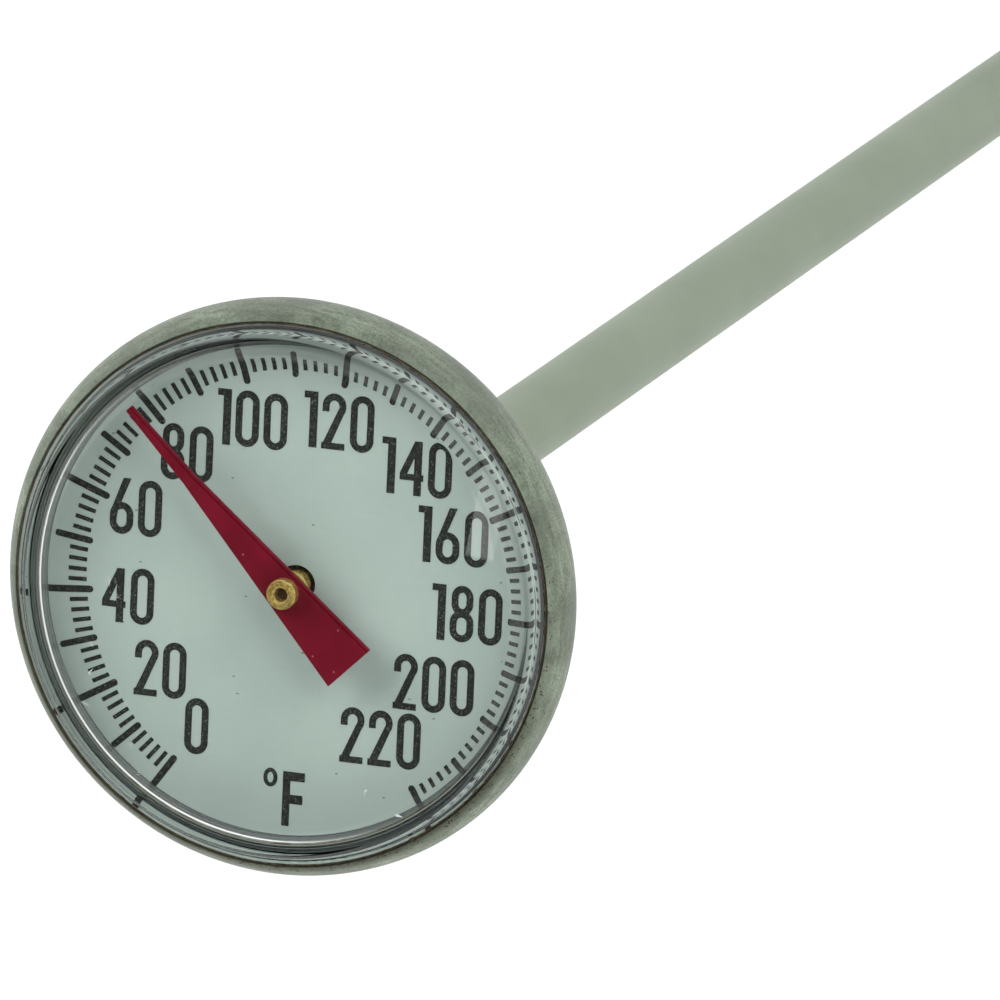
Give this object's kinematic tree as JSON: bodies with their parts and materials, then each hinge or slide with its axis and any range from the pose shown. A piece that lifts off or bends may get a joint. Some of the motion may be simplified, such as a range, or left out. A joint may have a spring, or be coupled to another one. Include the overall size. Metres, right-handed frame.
{
  "type": "dial thermometer",
  "caption": "Pocket dial thermometer: round bimetal dial with a red pointer under a clear domed crystal, in a rolled steel bezel, on a slim straight probe stem.",
  "frame": {"origin": "on the stem's axis, at the underside of the hex fitting, where the free stem begins", "axes": "+Z along the stem's axis towards the dial face, which faces +Z; the stem runs along -Z; +Y is the top of the dial and +X its right-hand side, seen from the front"},
  "size_m": [0.028, 0.028, 0.1387],
  "materials": {
    "bezel_steel": "satin rolled stainless steel, slightly soiled",
    "stem_steel": "satin stainless steel",
    "fitting_steel": "turned stainless steel",
    "spring_steel": "dull spring steel",
    "crystal": "clear polished plastic with fine scratches",
    "sealant": "pale sealant, brown with dirt where it meets the air",
    "gasket": "black rubber",
    "dial": "pale grey-green enamel",
    "dial_print": "black screen print",
    "pointer_red": "crimson lacquer",
    "brass": "turned brass",
    "guide_plastic": "white low-friction plastic"
  },
  "bodies": {
    "stem_assembly": {"hex_fitting": "fitting_steel", "braze_ring": "spring_steel", "wave_washer": "spring_steel", "thrust_washer": "brass", "retaining_ring": "spring_steel", "stem_tube": "stem_steel", "stem_tip": "stem_steel", "coil_anchor": "brass", "bimetal_coil": "spring_steel", "lower_guide": "guide_plastic", "middle_guide": "guide_plastic", "upper_guide": "brass"},
    "head": {"case_cup": "bezel_steel", "bezel_ring": "bezel_steel", "crystal": "crystal", "crystal_seal": "sealant", "case_gasket": "gasket", "dial_plate": "dial"},
    "indicator": {"pointer": "pointer_red", "pointer_hub": "brass", "pointer_shaft": "spring_steel", "coil_collar": "brass"}
  },
  "joints": [
    {"name": "pointer_turn", "type": "hinge", "parent": "stem_assembly", "child": "indicator", "pos_m": [0, 0, 0], "axis": [0, 0, -1], "range_deg": [-100.65, 190.85], "stiffness_Nm_per_rad": 0.0007, "deforming": ["bimetal_coil"]},
    {"name": "head_swivel", "type": "hinge", "parent": "stem_assembly", "child": "head", "pos_m": [0, 0, 0], "axis": [0, 0, 1], "continuous": true}
  ]
}
